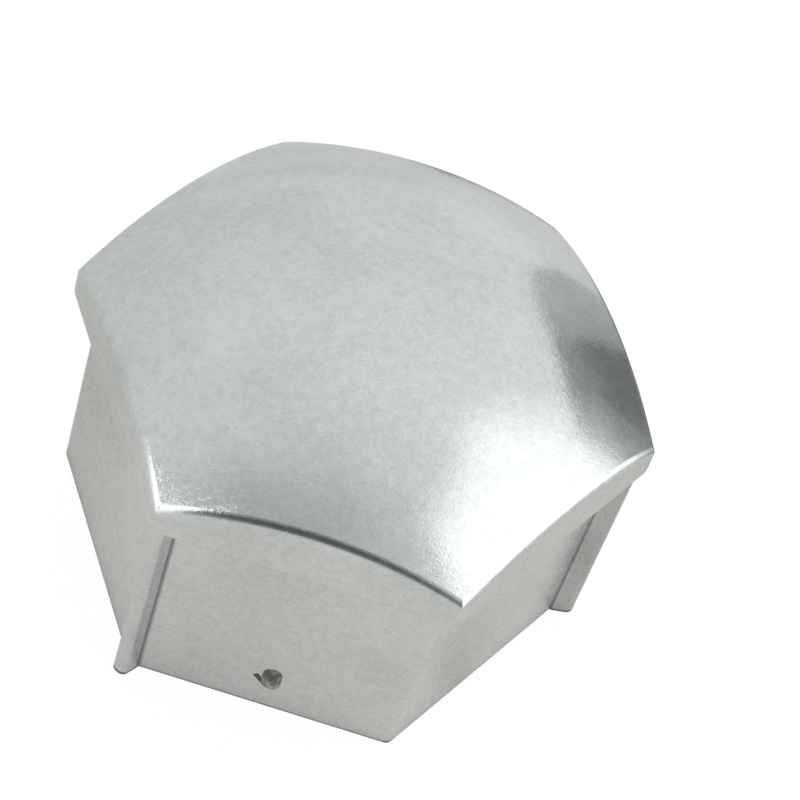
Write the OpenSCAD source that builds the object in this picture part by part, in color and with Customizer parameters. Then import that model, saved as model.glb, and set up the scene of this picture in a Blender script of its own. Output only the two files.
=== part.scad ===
// Push-on cover cap for a wheel nut: a domed hexagonal head over a recessed hexagonal skirt.
// The mouth of the skirt lies in the plane z = 0 and the axis of the cap is the z axis.
// All lengths are in millimetres and all angles in degrees.

/* [Head] */
// Distance across the flats of the head
head_across_flats = 21.1; // [20.8:0.1:22]
// Radius of the six upright corners of the head
head_corner_radius = 0.6; // [0.4:0.05:0.8]
// Height of the head's sides, from its underside up to the corners of the dome
rim_height = 1.28; // [1.1:0.02:2]
// Radius along the lower edge of the head
rim_edge_radius = 0.24; // [0.1:0.02:0.28]
// Radius that rounds off the lower ends of the six upright corners
rim_corner_radius = 0.6; // [0.4:0.05:0.8]

/* [Dome] */
// Radius of the sphere that closes the top of the head
dome_radius = 18.3; // [17:0.1:24]
// Radius rolled along the six arched edges between the dome and the sides
dome_edge_radius = 0.65; // [0.3:0.05:0.8]

/* [Skirt] */
// Distance across the flats of the skirt
skirt_across_flats = 19.15; // [18.9:0.05:19.6]
// Radius of the six upright corners of the skirt
skirt_corner_radius = 0.6; // [0.4:0.05:0.9]
// Height of the skirt, from the mouth up to the underside of the head
skirt_height = 10.02; // [8:0.1:14]
// Radius along the outer edge of the skirt's mouth
mouth_edge_radius = 0.12; // [0.06:0.02:0.3]

/* [Socket] */
// Distance across the flats of the socket that grips the nut
socket_across_flats = 17.1; // [16.9:0.05:17.3]
// Radius of the six upright corners of the socket
socket_corner_radius = 0.4; // [0.2:0.05:0.6]
// Thickness of the dome over the socket
dome_wall = 1.4; // [1:0.1:2]

/* [Fins] */
// Distance from the axis to the outer edge of each fin
fin_reach = 11.8; // [11.5:0.05:11.84]
// Thickness of each fin
fin_thickness = 0.66; // [0.5:0.02:0.9]
// Radius of the two upright outer edges of each fin
fin_edge_radius = 0.28; // [0.1:0.02:0.28]
// Height by which the lower edge of each fin rises from the skirt to its outer end
fin_lift = 0.2; // [0.1:0.02:0.6]

/* [Hole] */
// Width of the small upright hole through the front wall of the skirt
hole_width = 0.82; // [0.6:0.02:1]
// Distance between the centres of the hole's two round ends
hole_straight = 0.56; // [0.1:0.02:0.8]
// Height of the hole's centre above the mouth
hole_height = 1.98; // [1.4:0.02:4]
// Distance of the hole's centre from the middle of the wall
hole_offset = 0.17; // [-1:0.02:1]
// Radius of the nick beside the hole
nick_radius = 0.12; // [0.08:0.01:0.2]
// Length of the nick
nick_length = 0.52; // [0.3:0.02:0.8]
// Slope of the nick against the level line
nick_slope = 46; // [0:1:90]
// Distance of the nick's centre from the hole's centre, away to the left
nick_spacing = 0.5; // [0.45:0.01:0.8]
// Height of the nick's centre above the hole's centre
nick_rise = -0.16; // [-0.2:0.02:0.2]

/* [Hidden] */
// The corner angle of every hexagon here points along the x axis.
head_corner_reach = head_across_flats / 2 / cos(30);
head_half = head_across_flats / 2;
skirt_half = skirt_across_flats / 2;
corner_level = skirt_height + rim_height;
dome_centre = corner_level - sqrt(pow(dome_radius, 2) - pow(head_corner_reach, 2));
dome_top = dome_centre + dome_radius;
// Roundings stand proud by this much, so that they cross the flats cleanly
crossing = 0.0002;
// Allowance by which trimming shapes run past the surfaces that they don't shape
spare = 0.2;
// Depth by which the rounding under a corner bites into its upright edge
bite = 0.05;
// Least half width of the flat left between a fin's two rounded edges
fin_flat = 0.04;
// Depth by which parts of the one moulding run into each other
root = 0.5;
fin_angles = [0, 120, 240];

// Hexagon with rounded corners, and its flats moved out by extra.
module rounded_hexagon(across_flats, corner_radius, extra = 0) {
    side = (across_flats / 2 - corner_radius) / cos(30);
    for (turn = [30, 90, 150])
        rotate(turn) square([across_flats + 2 * extra, side], center = true);
    for (turn = [0:60:300])
        rotate(turn) translate([side, 0]) circle(r = corner_radius + crossing, $fn = 48);
}

// Body of revolution about the axis square to two opposite sides of the head.
// It ends in those two sides and rolls each of them over into the dome.
module dome_barrel(turn) {
    roll_along = head_half - dome_edge_radius;
    roll_out = sqrt(pow(dome_radius - dome_edge_radius, 2) - pow(roll_along, 2));
    touch = dome_radius / (dome_radius - dome_edge_radius);
    beyond = (dome_radius + 1) / (dome_radius - dome_edge_radius);
    rim = dome_radius + 2;
    translate([0, 0, dome_centre]) rotate([0, 90, turn]) rotate_extrude($fn = 240)
        intersection() {
            union() {
                polygon([
                    [0, -head_half],
                    [roll_out, -head_half],
                    [roll_out * touch, -roll_along * touch],
                    [roll_out * beyond, -roll_along * beyond],
                    [rim, -roll_along * beyond],
                    [rim, roll_along * beyond],
                    [roll_out * beyond, roll_along * beyond],
                    [roll_out * touch, roll_along * touch],
                    [roll_out, head_half],
                    [0, head_half]
                ]);
                for (end = [-1, 1])
                    translate([roll_out, end * roll_along]) circle(r = dome_edge_radius + crossing, $fn = 48);
            }
            translate([0, -head_half]) square([rim, 2 * head_half]);
        }
}

// Straight bar along two opposite sides of a hexagon that rounds their lower edges.
module edge_bar(turn, half_width, level, radius) {
    bar_length = 2 * head_across_flats;
    edge_half = half_width - radius;
    rotate([90, 0, turn]) linear_extrude(bar_length, center = true)
        union() {
            translate([-half_width - spare, level + radius])
                square([2 * (half_width + spare), dome_top]);
            translate([-edge_half, level - spare]) square([2 * edge_half, dome_top]);
            for (end = [-1, 1])
                translate([end * edge_half, level + radius]) circle(r = radius + crossing, $fn = 48);
        }
}

// Disc that rounds off the lower ends of the head's upright corners.
module corner_disc() {
    reach = (head_half - head_corner_radius) / cos(30) + head_corner_radius;
    ring = reach - rim_corner_radius + bite;
    translate([0, 0, skirt_height]) rotate_extrude($fn = 240)
        union() {
            translate([0, -spare]) square([ring, dome_top]);
            translate([0, rim_corner_radius]) square([reach + 2 * spare, dome_top]);
            translate([ring, rim_corner_radius]) circle(r = rim_corner_radius + crossing, $fn = 48);
        }
}

// Domed hexagonal head.
module head() {
    intersection() {
        translate([0, 0, skirt_height])
            linear_extrude(dome_top - skirt_height + spare)
                rounded_hexagon(head_across_flats, head_corner_radius, spare);
        translate([0, 0, dome_centre]) sphere(r = dome_radius, $fn = 240);
        dome_barrel(30);
        dome_barrel(90);
        dome_barrel(150);
        edge_bar(30, head_half, skirt_height, rim_edge_radius);
        edge_bar(90, head_half, skirt_height, rim_edge_radius);
        edge_bar(150, head_half, skirt_height, rim_edge_radius);
        corner_disc();
    }
}

// Hexagonal skirt, rounded along the outer edge of its mouth.
module skirt() {
    intersection() {
        linear_extrude(skirt_height + root) rounded_hexagon(skirt_across_flats, skirt_corner_radius);
        edge_bar(30, skirt_half, 0, mouth_edge_radius);
        edge_bar(90, skirt_half, 0, mouth_edge_radius);
        edge_bar(150, skirt_half, 0, mouth_edge_radius);
    }
}

// Upright fin on one corner of the skirt, standing out radially. Its lower edge rises outwards.
module fin() {
    fin_half = fin_thickness / 2;
    fin_start = socket_across_flats / 2 / cos(30) + root;
    edge_round = min(fin_edge_radius, fin_half - fin_flat);
    edge_start = fin_reach - edge_round;
    edge_half = fin_half - edge_round;
    lift_start = (skirt_half - skirt_corner_radius) / cos(30) + skirt_corner_radius;
    lift_rate = fin_lift / (fin_reach - lift_start);
    difference() {
        linear_extrude(skirt_height + root / 2)
            intersection() {
                union() {
                    translate([fin_start, -fin_half]) square([edge_start - fin_start, fin_thickness]);
                    translate([fin_start, -edge_half]) square([fin_reach - fin_start, 2 * edge_half]);
                    for (side = [-1, 1])
                        translate([edge_start, side * edge_half])
                            circle(r = edge_round + crossing, $fn = 48);
                }
                translate([fin_start, -fin_half]) square([fin_reach - fin_start, fin_thickness]);
            }
        rotate([90, 0, 0]) linear_extrude(2 * fin_thickness, center = true)
            polygon([
                [lift_start - spare, -spare * lift_rate],
                [fin_reach + spare, fin_lift + spare * lift_rate],
                [fin_reach + spare, -root],
                [lift_start - spare, -root]
            ]);
    }
}

// Hexagonal socket with a domed end that follows the outside.
module socket() {
    intersection() {
        translate([0, 0, -root])
            linear_extrude(dome_top + root) rounded_hexagon(socket_across_flats, socket_corner_radius);
        translate([0, 0, dome_centre]) sphere(r = dome_radius - dome_wall, $fn = 240);
    }
}

// Small upright hole through the front wall, and the nick beside it.
module hole_and_nick() {
    wall_inside = socket_across_flats / 2;
    translate([hole_offset, -wall_inside + root, hole_height]) rotate([90, 0, 0])
        linear_extrude(skirt_half - wall_inside + 2 * root)
            union() {
                square([hole_width, hole_straight], center = true);
                for (end = [-1, 1])
                    translate([0, end * hole_straight / 2]) circle(r = hole_width / 2 + crossing, $fn = 48);
            }
    translate([hole_offset - nick_spacing, -skirt_half, hole_height + nick_rise])
        rotate([0, nick_slope, 0]) rotate([0, 90, 0])
            cylinder(h = nick_length, r = nick_radius, center = true, $fn = 32);
}

// The whole cap, moulded in one piece.
module cap() {
    color("silver") difference() {
        union() {
            head();
            skirt();
            for (turn = fin_angles)
                rotate(turn) fin();
        }
        socket();
        hole_and_nick();
    }
}

cap();
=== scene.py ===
"""Looks of the wheel nut cap: satin silver material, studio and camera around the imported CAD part.

Lengths are in metres and angles in degrees. Azimuths run from +X towards +Y. A span is a pair of values over
which something goes from one level to another.
"""
import math

import bpy
from mathutils import Matrix, Vector


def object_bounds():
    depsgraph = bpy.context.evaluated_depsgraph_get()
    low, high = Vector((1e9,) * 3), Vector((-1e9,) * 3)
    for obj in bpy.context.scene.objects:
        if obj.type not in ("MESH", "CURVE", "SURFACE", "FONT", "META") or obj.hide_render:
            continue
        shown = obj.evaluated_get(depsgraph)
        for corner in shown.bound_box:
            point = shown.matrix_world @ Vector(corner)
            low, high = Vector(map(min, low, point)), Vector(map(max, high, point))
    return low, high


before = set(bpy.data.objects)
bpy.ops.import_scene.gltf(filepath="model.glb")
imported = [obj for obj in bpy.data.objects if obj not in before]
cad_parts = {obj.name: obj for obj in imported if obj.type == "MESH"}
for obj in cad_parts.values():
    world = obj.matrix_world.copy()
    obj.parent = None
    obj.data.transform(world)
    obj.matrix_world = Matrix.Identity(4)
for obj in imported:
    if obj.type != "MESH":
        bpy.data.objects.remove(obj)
cad_box = [list(corner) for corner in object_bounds()]
scene = bpy.context.scene
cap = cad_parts["cap"]


def direction(azimuth, elevation=0.0):
    """Unit vector towards an azimuth and an elevation."""
    turn, rise = math.radians(azimuth), math.radians(elevation)
    return Vector((math.cos(turn) * math.cos(rise), math.sin(turn) * math.cos(rise), math.sin(rise)))


# Camera, as seen from a point on the cap's axis, and its shift to the right and downwards
CAMERA_AIM = Vector((0, 0, 0.0113))
CAMERA_AZIMUTH, CAMERA_ELEVATION, CAMERA_ROLL = -93.1974, 48.4662, 19.9571
CAMERA_DISTANCE, CAMERA_RIGHT, CAMERA_DOWN = 0.112725, 0.001285, 0.001540
# Both in millimetres
SENSOR_WIDTH, FOCAL_LENGTH = 36, 126.8
CLIP_START, CLIP_END = 0.001, 20


def add_camera():
    """Camera at the place that the photograph was taken from."""
    back = direction(CAMERA_AZIMUTH, CAMERA_ELEVATION)
    right = Vector((0, 0, 1)).cross(back).normalized()
    up = back.cross(right)
    roll = math.radians(CAMERA_ROLL)
    x_axis = math.cos(roll) * right + math.sin(roll) * up
    y_axis = -math.sin(roll) * right + math.cos(roll) * up
    place = CAMERA_AIM + back * CAMERA_DISTANCE + x_axis * CAMERA_RIGHT - y_axis * CAMERA_DOWN
    data = bpy.data.cameras.new("camera")
    data.sensor_width = SENSOR_WIDTH
    data.lens = FOCAL_LENGTH
    data.clip_start, data.clip_end = CLIP_START, CLIP_END
    camera = bpy.data.objects.new("camera", data)
    camera.matrix_world = Matrix.Translation(place) @ Matrix((x_axis, y_axis, back)).transposed().to_4x4()
    scene.collection.objects.link(camera)
    scene.camera = camera


class Tree:
    """Node tree of a material or the world.

    A value is a number or an output of another node, and a mask is a value from 0 to 1.
    """

    def __init__(self, owner):
        owner.use_nodes = True
        self.tree = owner.node_tree
        self.tree.nodes.clear()

    def node(self, kind, inputs=(), **settings):
        """New node, with inputs by name or number."""
        made = self.tree.nodes.new(kind)
        for name, value in settings.items():
            setattr(made, name, value)
        for key, value in dict(inputs).items():
            if isinstance(value, bpy.types.NodeSocket):
                self.tree.links.new(value, made.inputs[key])
            else:
                made.inputs[key].default_value = value
        return made

    def math(self, operation, first, second=0.0, clamp=False):
        made = self.node("ShaderNodeMath", {0: first, 1: second}, operation=operation, use_clamp=clamp)
        return made.outputs[0]

    def fold(self, operation, first, *others):
        """Result of an operation on any number of values, one after another."""
        for other in others:
            first = self.math(operation, first, other)
        return first

    def plus(self, *values):
        return self.fold("ADD", *values)

    def times(self, *values):
        return self.fold("MULTIPLY", *values)

    def most(self, *values):
        return self.fold("MAXIMUM", *values)

    def size(self, value):
        return self.math("ABSOLUTE", value)

    def above(self, value, limit):
        return self.math("GREATER_THAN", value, limit)

    def below(self, value, limit):
        return self.math("LESS_THAN", value, limit)

    def inverse(self, mask):
        return self.math("SUBTRACT", 1.0, mask)

    def remap(self, value, span, levels, smooth=False):
        """Goes from the first level to the second over a span of the value."""
        inputs = {"Value": value, "From Min": span[0], "From Max": span[1],
                  "To Min": levels[0], "To Max": levels[1]}
        kind = "SMOOTHSTEP" if smooth else "LINEAR"
        return self.node("ShaderNodeMapRange", inputs, interpolation_type=kind).outputs["Result"]

    def rise(self, value, span):
        return self.remap(value, span, (0.0, 1.0), smooth=True)

    def fall(self, value, span):
        return self.remap(value, span, (1.0, 0.0), smooth=True)

    def vector(self, operation, first, second=(0.0, 0.0, 0.0), output="Value"):
        made = self.node("ShaderNodeVectorMath", {0: first, 1: second}, operation=operation)
        return made.outputs[output]

    def split(self, vector):
        """Outputs X, Y and Z."""
        return self.node("ShaderNodeSeparateXYZ", {0: vector}).outputs

    def noise(self, vector, scale, detail, roughness=0.5, distortion=0.0):
        inputs = {"Vector": vector, "Scale": scale, "Detail": detail, "Roughness": roughness,
                  "Distortion": distortion}
        return self.node("ShaderNodeTexNoise", inputs).outputs["Fac"]

    def blend(self, share, first, second):
        """Mix of two numbers: the second where the share is one."""
        made = self.node("ShaderNodeMix", {"Factor": share, "A": first, "B": second}, data_type="FLOAT")
        return made.outputs["Result"]

    def mix(self, share, first, second):
        """Mix of two colours: the second where the share is one."""
        made = self.node("ShaderNodeMix", {"Factor": share}, data_type="RGBA")
        for name, value in (("A", first), ("B", second)):
            socket = next(item for item in made.inputs if item.name == name and item.type == "RGBA")
            if isinstance(value, bpy.types.NodeSocket):
                self.tree.links.new(value, socket)
            else:
                socket.default_value = value
        return next(item for item in made.outputs if item.type == "RGBA")

    def shade(self, share, first, second):
        """Mix of two shaders: the second where the share is one."""
        return self.node("ShaderNodeMixShader", {0: share, 1: first.outputs[0], 2: second.outputs[0]})

    def along(self, parts, azimuth):
        """Distance from the axis towards an azimuth."""
        heading = direction(azimuth)
        return self.plus(self.times(parts["X"], heading.x), self.times(parts["Y"], heading.y))

    def hexagonal(self, parts):
        """Distance from the axis, measured square to the nearest faces of the hexagon."""
        return self.most(0.0, *(self.size(self.along(parts, azimuth)) for azimuth in FACE_AZIMUTHS))

    def within(self, parts, limits):
        """One inside a box: the least and the most along each axis."""
        return self.times(*(self.times(self.above(parts[axis], low), self.below(parts[axis], high))
                            for axis, low, high in limits))

    def cone(self, facing, start, full, levels):
        """From one level outside the start angle to the other within the full angle, by the cosine."""
        span = math.cos(math.radians(start)), math.cos(math.radians(full))
        return self.remap(facing, span, levels, smooth=True)


# The cap's surfaces, from its CAD source
FACE_AZIMUTHS, FIN_AZIMUTHS = (30, 90, 150), (0, 120, 240)
# Height just under the head
SKIRT_TOP = 0.0100
# The socket's walls are nearer to the axis than this, and the skirt's faces are farther away
SOCKET_LIMIT = 0.00947
# The socket's end is nearer to the centre of the dome's sphere than the middle of the dome's wall
DOME_RADIUS, DOME_WALL = 0.0183, 0.0014
DOME_CENTRE = (0.0, 0.0, cad_box[1][2] - DOME_RADIUS)
SOCKET_SPHERE = DOME_RADIUS - DOME_WALL / 2
HOLE_BOX = (("X", -0.00030, 0.00064), ("Y", -0.00956, -0.00840), ("Z", 0.0010, 0.0030))
# The nick: its middle, its slope, half the width of its painted shade, and the box that it lies in
NICK_X, NICK_Z = -0.00033, 0.00182
NICK_SLOPE = math.radians(46)
NICK_HALF = 0.00016
NICK_BOX = (("X", -0.00060, -0.00022), ("Y", -0.00957, -0.00900), ("Z", 0.00150, 0.00220))
# Half the thickness of a fin, and the distance from the axis at which its sides meet the skirt
FIN_HALF, CREASE_OUT = 0.00033, 0.01087
# Distances from the axis between which the lower edge of a fin rises, and by how much
FIN_FOOT, FIN_LIFT = (0.01106, 0.0118), 0.0002

# Noise of the coating: cloudy, mottled and grainy, and the share of each in its tone
CLOUD, CLOUD_SHARE = {"scale": 260.0, "detail": 4.0}, 0.3
MOTTLE, MOTTLE_SHARE = {"scale": 2400.0, "detail": 3.0, "roughness": 0.6}, 0.3
GRAIN, GRAIN_SHARE = {"scale": 4600.0, "detail": 2.0, "roughness": 0.6, "distortion": 1.5}, 0.4
TONE_SPAN = (0.40, 0.60)
DARK_SILVER, PALE_SILVER = (0.562, 0.597, 0.585, 1.0), (0.682, 0.710, 0.698, 1.0)
# Bare plastic inside, and the dark colour of the painted shade
BARE_PLASTIC, PAINTED_SHADE = (0.74, 0.74, 0.72, 1.0), (0.08, 0.08, 0.08, 1.0)
# Upward part of the normal over which the walls' dull finish gives way to the dome's polish
POLISH_SPAN = (0.35, 0.75)
# Roughness, from one end of the mottling to the other
ROUGHNESS_SPAN = (0.3, 0.7)
DOME_ROUGHNESS, WALL_ROUGHNESS = (0.07, 0.11), (0.24, 0.32)
PLASTIC_ROUGHNESS, PLASTIC_METAL = 0.55, 0.2
# Depth of the relief, and how much of the grain's is left on the walls
GRAIN_DEPTH, CLOUD_DEPTH = 0.000006, 0.000006
WALL_GRAIN = 0.25

# Painted shade, and how strong it is: by distance from a crease
CREASE_SPAN, CREASE_SHADE = (0.00003, 0.00015), 0.60
# Painted shade by height above the mouth, and outside the middle of its rim
MOUTH_SPAN, MOUTH_SHADE = (0.00008, 0.00022), 0.85
MOUTH_OUTSIDE = (0.00930, 0.00945)
# Painted shade in the hole, by the mottling
HOLE_SPAN, HOLE_SHADE = (0.42, 0.58), 0.60
# Painted shade all over the fin towards +X, from this distance outwards
FIN_SHADE_START, FIN_SHADE = 0.0110, 0.26


def painted_shade_mask(tree, parts, mottle, middle, inside, hole):
    """Painted shade beside the fins, on the outer edge of the mouth, in the hole and in the nick, and on one
    fin.
    """
    crease, reach = 1.0, 0.0
    for azimuth in FIN_AZIMUTHS:
        out = tree.along(parts, azimuth)
        side = tree.size(tree.along(parts, azimuth + 90))
        away = tree.node("ShaderNodeCombineXYZ", {0: tree.plus(out, -CREASE_OUT),
                                                  1: tree.plus(side, -FIN_HALF)})
        crease = tree.math("MINIMUM", crease, tree.vector("LENGTH", away.outputs[0]))
        reach = tree.most(reach, out)
    height = tree.math("SUBTRACT", parts["Z"], tree.remap(reach, FIN_FOOT, (0.0, FIN_LIFT)))
    skirt = tree.below(parts["Z"], SKIRT_TOP)
    # Painted shade in the creases beside the fins, and along the outer edge of the mouth
    creases = tree.times(tree.remap(crease, CREASE_SPAN, (CREASE_SHADE, 0.0), smooth=True), skirt)
    mouth = tree.times(tree.remap(height, MOUTH_SPAN, (MOUTH_SHADE, 0.0), smooth=True),
                       tree.rise(middle, MOUTH_OUTSIDE))
    # Painted shade over the fin towards +X
    shaded_fin = tree.times(tree.above(parts["X"], FIN_SHADE_START), skirt, FIN_SHADE)
    outer = tree.times(tree.most(creases, mouth, shaded_fin), tree.inverse(inside))
    # Painted shade in the hole, mottled
    inner = tree.times(hole, tree.remap(mottle, HOLE_SPAN, (HOLE_SHADE, 0.0)))
    # Painted shade along the nick
    across = tree.plus(tree.times(tree.plus(parts["X"], -NICK_X), math.sin(NICK_SLOPE)),
                       tree.times(tree.plus(parts["Z"], -NICK_Z), math.cos(NICK_SLOPE)))
    nick = tree.times(tree.below(tree.size(across), NICK_HALF), tree.within(parts, NICK_BOX))
    return tree.most(outer, inner, nick)


def silver():
    """Satin silver coating, polished on the dome and duller on the walls, with bare plastic inside."""
    material = bpy.data.materials.new("satin_silver")
    tree = Tree(material)
    coordinates = tree.node("ShaderNodeTexCoord").outputs
    place = coordinates["Object"]
    parts = tree.split(place)
    middle = tree.hexagonal(parts)
    polish = tree.rise(tree.split(coordinates["Normal"])["Z"], POLISH_SPAN)
    cloud, mottle, grain = (tree.noise(place, **settings) for settings in (CLOUD, MOTTLE, GRAIN))
    hole = tree.within(parts, HOLE_BOX)
    socket = tree.times(tree.below(middle, SOCKET_LIMIT),
                        tree.below(tree.vector("DISTANCE", place, DOME_CENTRE), SOCKET_SPHERE))
    inside = tree.most(socket, hole)

    tone = tree.plus(tree.times(cloud, CLOUD_SHARE), tree.times(mottle, MOTTLE_SHARE),
                     tree.times(grain, GRAIN_SHARE))
    colour = tree.mix(tree.remap(tone, TONE_SPAN, (0.0, 1.0)), DARK_SILVER, PALE_SILVER)
    colour = tree.mix(inside, colour, BARE_PLASTIC)
    # Painted shade: darker beside the fins, at the mouth's outer edge, in the hole and the nick, and on the
    # fin towards +X
    colour = tree.mix(painted_shade_mask(tree, parts, mottle, middle, inside, hole), colour, PAINTED_SHADE)
    rough = tree.blend(polish, tree.remap(mottle, ROUGHNESS_SPAN, WALL_ROUGHNESS),
                       tree.remap(mottle, ROUGHNESS_SPAN, DOME_ROUGHNESS))
    pitted = tree.times(grain, tree.remap(polish, (0.0, 1.0), (WALL_GRAIN, 1.0)))
    pits = tree.node("ShaderNodeBump", {"Strength": 1.0, "Distance": GRAIN_DEPTH, "Height": pitted})
    waves = tree.node("ShaderNodeBump", {"Strength": 1.0, "Distance": CLOUD_DEPTH, "Height": cloud,
                                         "Normal": pits.outputs["Normal"]})
    shader = tree.node("ShaderNodeBsdfPrincipled", {
        "Base Color": colour,
        "Metallic": tree.blend(inside, 1.0, PLASTIC_METAL),
        "Roughness": tree.blend(inside, rough, PLASTIC_ROUGHNESS),
        "Normal": waves.outputs["Normal"],
    })
    tree.node("ShaderNodeOutputMaterial", {"Surface": shader.outputs["BSDF"]})
    return material


# Studio: a white floor, pale surroundings, and upright cards that the gloss reflects. Each card has its
# azimuth, its distance from the axis and its corners, as the distance across and the height.
WHITE, GREENISH = (1.0, 1.0, 1.0, 1.0), (0.95, 1.0, 0.99, 1.0)

SOFT_BOX = (0, 0.080, [(-0.065, 0.0), (0.071, 0.0), (0.071, 0.187), (-0.065, 0.187)])
SOFT_BOX_LIGHT = 1.62
SOFT_BOX_LEFT, SOFT_BOX_RIGHT, SOFT_BOX_TOP = (-0.064, -0.052), (0.018, 0.070), (0.100, 0.186)

SIDE_PANEL = (-148, 0.080, [
    (-0.023, 0.0), (0.062, 0.0), (0.050, 0.040), (0.040, 0.080), (0.037, 0.117), (0.034, 0.111),
    (0.020, 0.087), (0.010, 0.071), (-0.023, 0.071)])
SIDE_PANEL_LIGHT = 1.8
SIDE_PANEL_LEFT = (-0.022, -0.009)

DARK_SCREEN = (50, 0.065, [
    (-0.032, 0.0), (0.0130, 0.0), (0.0155, 0.005), (0.0180, 0.009), (0.0198, 0.014), (0.0203, 0.0245),
    (0.0148, 0.034), (0.007, 0.038), (0.001, 0.0405), (-0.005, 0.0433), (-0.010, 0.0448), (-0.015, 0.046),
    (-0.020, 0.0468), (-0.032, 0.046)])
# Where the screen fades in, and where its dark part gives way to the pale one
SCREEN_LEFT, SCREEN_DIVISION = (-0.032, -0.025), (0.0006, 0.0027)
# Light of the dark part: by height, and what is added at one end
DARK_HEIGHTS, DARK_LIGHT = (0.023, 0.037), (0.23, 0.40)
DARK_END, DARK_ADDED = (-0.025, -0.013), (0.35, 0.0)
# Light of the pale part: by height, and what is added at the other end
PALE_HEIGHTS, PALE_LIGHT = (0.020, 0.032), (0.45, 0.52)
PALE_END, PALE_ADDED = (0.004, 0.014), (0.0, 0.12)


def add_card(name, azimuth, distance, corners, glow):
    """Upright card, square to its azimuth and seen in reflections alone.

    Glow gives its light, its tint and how much it covers, by the distance across and the height.
    """
    outward, sideways = direction(azimuth), direction(azimuth + 90)
    points = [outward * distance + sideways * across + Vector((0, 0, height)) for across, height in corners]
    mesh = bpy.data.meshes.new(name)
    mesh.from_pydata(points, [], [range(len(points))])
    material = bpy.data.materials.new(name)
    tree = Tree(material)
    place = tree.node("ShaderNodeNewGeometry").outputs["Position"]
    light, tint, cover = glow(tree, tree.vector("DOT_PRODUCT", place, sideways), tree.split(place)["Z"])
    lit = tree.node("ShaderNodeEmission", {"Color": tint, "Strength": light})
    sheet = tree.shade(cover, tree.node("ShaderNodeBsdfTransparent"), lit)
    tree.node("ShaderNodeOutputMaterial", {"Surface": sheet.outputs[0]})
    mesh.materials.append(material)
    card = bpy.data.objects.new(name, mesh)
    scene.collection.objects.link(card)
    card.visible_camera = False
    card.visible_shadow = False
    card.visible_diffuse = False


def soft_box(tree, across, height):
    """Bright towards the floor, and fading to both sides and upwards."""
    cover = tree.times(tree.rise(across, SOFT_BOX_LEFT), tree.fall(across, SOFT_BOX_RIGHT),
                       tree.fall(height, SOFT_BOX_TOP))
    return SOFT_BOX_LIGHT, WHITE, cover


def side_panel(tree, across, height):
    """Bright panel with one soft end, alike at every height."""
    return SIDE_PANEL_LIGHT, WHITE, tree.rise(across, SIDE_PANEL_LEFT)


def dark_screen(tree, across, height):
    """Screen in a dark and a paler part, each lighter upwards and towards its own end."""
    dark = tree.plus(tree.remap(height, DARK_HEIGHTS, DARK_LIGHT, smooth=True),
                     tree.remap(across, DARK_END, DARK_ADDED))
    pale = tree.plus(tree.remap(height, PALE_HEIGHTS, PALE_LIGHT, smooth=True),
                     tree.remap(across, PALE_END, PALE_ADDED, smooth=True))
    light = tree.blend(tree.rise(across, SCREEN_DIVISION), dark, pale)
    return light, GREENISH, tree.rise(across, SCREEN_LEFT)


# Floor: half its width, how far it lies under the mouth, and how far its opening under the socket reaches
FLOOR_HALF, FLOOR_DROP, FLOOR_OPENING = 3.0, 0.00001, 0.0094
# White light near the cap: where it starts beside the skirt, and its share
NEAR_SPAN, NEAR_SHARE = (0.0088, 0.0103), 0.315
# It ends behind the cap, on a line that slants with X
BEHIND_SLANT, BEHIND_SPAN = -0.25, (-0.003, 0.0065)
# Beyond the fin towards +X only this part of it is left
FIN_SPAN, FIN_SHARE = (0.0160, 0.0190), 0.2
# It is left out of a strip along the cap: the strip's azimuth, its two edges, and where it starts
STRIP_AZIMUTH = -57
STRIP_INNER, STRIP_OUTER = (0.0086, 0.0092), (0.0101, 0.0106)
STRIP_START = (0.0020, 0.0045)
# White light far from the axis: where it takes over, and its share by X
FAR_SPAN = (0.026, 0.085)
FAR_SIDES, FAR_SHARES = (-0.100, 0.100), (0.12, 0.60)
# Point of the dark mat: X of its tip and slant of its sides, and where it ends and starts by Y
POINT_X, POINT_SLANT = 0.0024, 1.93
POINT_END, POINT_START = (0.0425, 0.0455), (0.0100, 0.0160)
# Wedge of the dark mat: azimuth, angles at which it starts and is full, and where it ends
WEDGE_AZIMUTH, WEDGE_START, WEDGE_FULL = 42, 26, 20
WEDGE_END = (0.055, 0.070)
# Distance from the axis at which both begin
MAT_START = (0.0130, 0.0160)
# Share of white that the camera sees, and the light of the white and of the mat
CAMERA_SHARE = 0.93
WHITE_LIGHT, MAT_LIGHT = 1.03, 0.25
NEAR_TINT, FAR_TINT = (1.0, 0.955, 0.945, 1.0), (0.96, 1.0, 0.99, 1.0)
NEAR_PAPER, FAR_PAPER = (0.90, 0.855, 0.835, 1.0), (0.83, 0.86, 0.85, 1.0)


def near_share(tree, parts):
    """White light around the cap: none under it, behind it or in the strip, and little off one fin."""
    behind = tree.plus(parts["Y"], tree.times(parts["X"], BEHIND_SLANT))
    aside = tree.along(parts, STRIP_AZIMUTH)
    strip = tree.times(tree.rise(aside, STRIP_INNER), tree.fall(aside, STRIP_OUTER),
                       tree.rise(tree.along(parts, STRIP_AZIMUTH + 90), STRIP_START))
    return tree.times(tree.remap(tree.hexagonal(parts), NEAR_SPAN, (0.0, NEAR_SHARE), smooth=True),
                      tree.fall(behind, BEHIND_SPAN), tree.inverse(strip),
                      tree.remap(parts["X"], FIN_SPAN, (1.0, FIN_SHARE), smooth=True))


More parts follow.
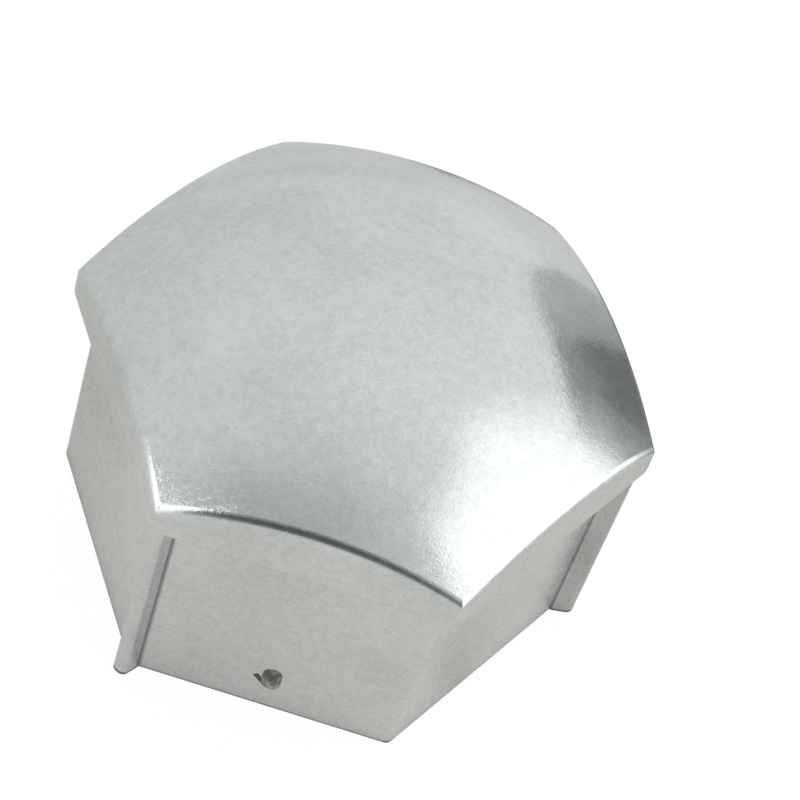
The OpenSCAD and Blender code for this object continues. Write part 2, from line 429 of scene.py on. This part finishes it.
def mat_share(tree, place, parts, radius):
    """Dark mat behind the cap: a point straight behind it, and a wedge on the right."""
    slant = tree.times(tree.size(tree.plus(parts["X"], -POINT_X)), POINT_SLANT)
    point = tree.times(tree.fall(tree.plus(parts["Y"], slant), POINT_END),
                       tree.rise(parts["Y"], POINT_START))
    heading = tree.vector("NORMALIZE", place, output="Vector")
    facing = tree.vector("DOT_PRODUCT", heading, direction(WEDGE_AZIMUTH))
    wedge = tree.times(tree.cone(facing, WEDGE_START, WEDGE_FULL, (0.0, 1.0)), tree.fall(radius, WEDGE_END))
    return tree.times(tree.most(point, wedge), tree.rise(radius, MAT_START))


def add_floor():
    """White floor that keeps the cap's shadow, with tones and a mat that only reflections show."""
    mesh = bpy.data.meshes.new("floor")
    corners = [(-FLOOR_HALF, -FLOOR_HALF, 0), (FLOOR_HALF, -FLOOR_HALF, 0),
               (FLOOR_HALF, FLOOR_HALF, 0), (-FLOOR_HALF, FLOOR_HALF, 0)]
    mesh.from_pydata(corners, [], [(0, 1, 2, 3)])
    floor = bpy.data.objects.new("floor", mesh)
    floor.location.z = -FLOOR_DROP
    scene.collection.objects.link(floor)
    material = bpy.data.materials.new("floor")
    tree = Tree(material)
    path = tree.node("ShaderNodeLightPath").outputs
    mirrored = tree.most(path["Is Glossy Ray"], path["Is Transmission Ray"])
    geometry = tree.node("ShaderNodeNewGeometry").outputs
    place = geometry["Position"]
    parts = tree.split(place)
    radius = tree.vector("LENGTH", place)
    far = tree.rise(radius, FAR_SPAN)
    pale = tree.blend(far, near_share(tree, parts), tree.remap(parts["X"], FAR_SIDES, FAR_SHARES))
    mat = tree.times(mat_share(tree, place, parts, radius), mirrored)
    share = tree.math("ADD", tree.times(path["Is Camera Ray"], CAMERA_SHARE),
                      tree.times(mirrored, tree.most(pale, mat)), clamp=True)
    tint = tree.mix(path["Is Camera Ray"], tree.mix(far, NEAR_TINT, FAR_TINT), WHITE)
    paper = tree.node("ShaderNodeBsdfDiffuse", {"Color": tree.mix(far, NEAR_PAPER, FAR_PAPER)})
    light = tree.blend(mat, WHITE_LIGHT, MAT_LIGHT)
    white = tree.node("ShaderNodeEmission", {"Color": tint, "Strength": light})
    # It can be seen through from below, and is open under the socket, so that the inside has light.
    clear = tree.most(geometry["Backfacing"], tree.below(tree.hexagonal(parts), FLOOR_OPENING))
    sheet = tree.shade(clear, tree.shade(share, paper, white), tree.node("ShaderNodeBsdfTransparent"))
    tree.node("ShaderNodeOutputMaterial", {"Surface": sheet.outputs[0]})
    mesh.materials.append(material)


# World: its light at the middle, and how that grows along each axis
WORLD_LIGHT, WORLD_SLOPES = 0.97, (("X", 0.17), ("Y", -0.105), ("Z", 0.034))
WORLD_TINT = (0.97, 1.0, 0.99, 1.0)
# The dark room in front, behind the camera, deepens towards its middle: azimuth and elevation of the middle,
# angles at which each part starts and is full, and how much light it leaves
DARK_ROOM = ((-92, 40, 80, 15, 0.835), (-92, 40, 47, 7, 0.62), (-88, 8, 47, 25, 0.22))


def add_world():
    """Pale surroundings, white to the camera, with the dark room in reflections."""
    world = bpy.data.worlds.new("studio")
    scene.world = world
    tree = Tree(world)
    path = tree.node("ShaderNodeLightPath").outputs
    direct = tree.most(path["Is Camera Ray"], path["Is Transmission Ray"])
    towards = tree.node("ShaderNodeTexCoord").outputs["Generated"]
    parts = tree.split(towards)
    glow = tree.plus(*(tree.times(parts[axis], slope) for axis, slope in WORLD_SLOPES), WORLD_LIGHT)
    for azimuth, elevation, start, full, left in DARK_ROOM:
        facing = tree.vector("DOT_PRODUCT", towards, direction(azimuth, elevation))
        glow = tree.times(glow, tree.cone(facing, start, full, (1.0, left)))
    light = tree.blend(direct, glow, 1.0)
    background = tree.node("ShaderNodeBackground", {"Color": WORLD_TINT, "Strength": light})
    tree.node("ShaderNodeOutputWorld", {"Surface": background.outputs[0]})


add_camera()
add_world()
add_floor()
add_card("soft_box", *SOFT_BOX, soft_box)
add_card("side_panel", *SIDE_PANEL, side_panel)
add_card("dark_screen", *DARK_SCREEN, dark_screen)

material = silver()
cap.data.materials.clear()
cap.data.materials.append(material)
for slot in cap.material_slots:
    slot.link = "OBJECT"
    slot.material = material

scene.view_settings.view_transform = "Standard"
